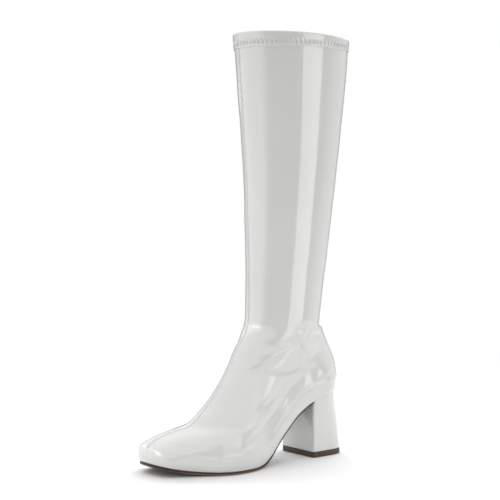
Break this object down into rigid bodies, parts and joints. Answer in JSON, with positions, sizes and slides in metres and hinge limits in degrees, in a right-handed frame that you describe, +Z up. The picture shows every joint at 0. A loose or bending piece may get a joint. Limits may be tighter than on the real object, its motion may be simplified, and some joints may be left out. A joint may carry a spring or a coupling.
{
  "type": "go go boot",
  "caption": "Knee-high pull-on go go boot for the left foot, in glossy patent, with a softly squared toe and a covered block heel.",
  "frame": {"origin": "centre of the heel's ground face, on the floor plane", "axes": "+Z up, the toe points along -Y, +X towards the outer side of the left foot"},
  "size_m": [0.1112, 0.2405, 0.449],
  "materials": {
    "white_patent": "gloss",
    "brown_sole": "satin",
    "brown_rubber": "matte",
    "sock_lining": "matte"
  },
  "bodies": {
    "root": {"upper": "white_patent", "outsole": "brown_sole", "heel_block": "white_patent", "top_piece": "brown_rubber", "insole": "sock_lining"}
  },
  "joints": []
}
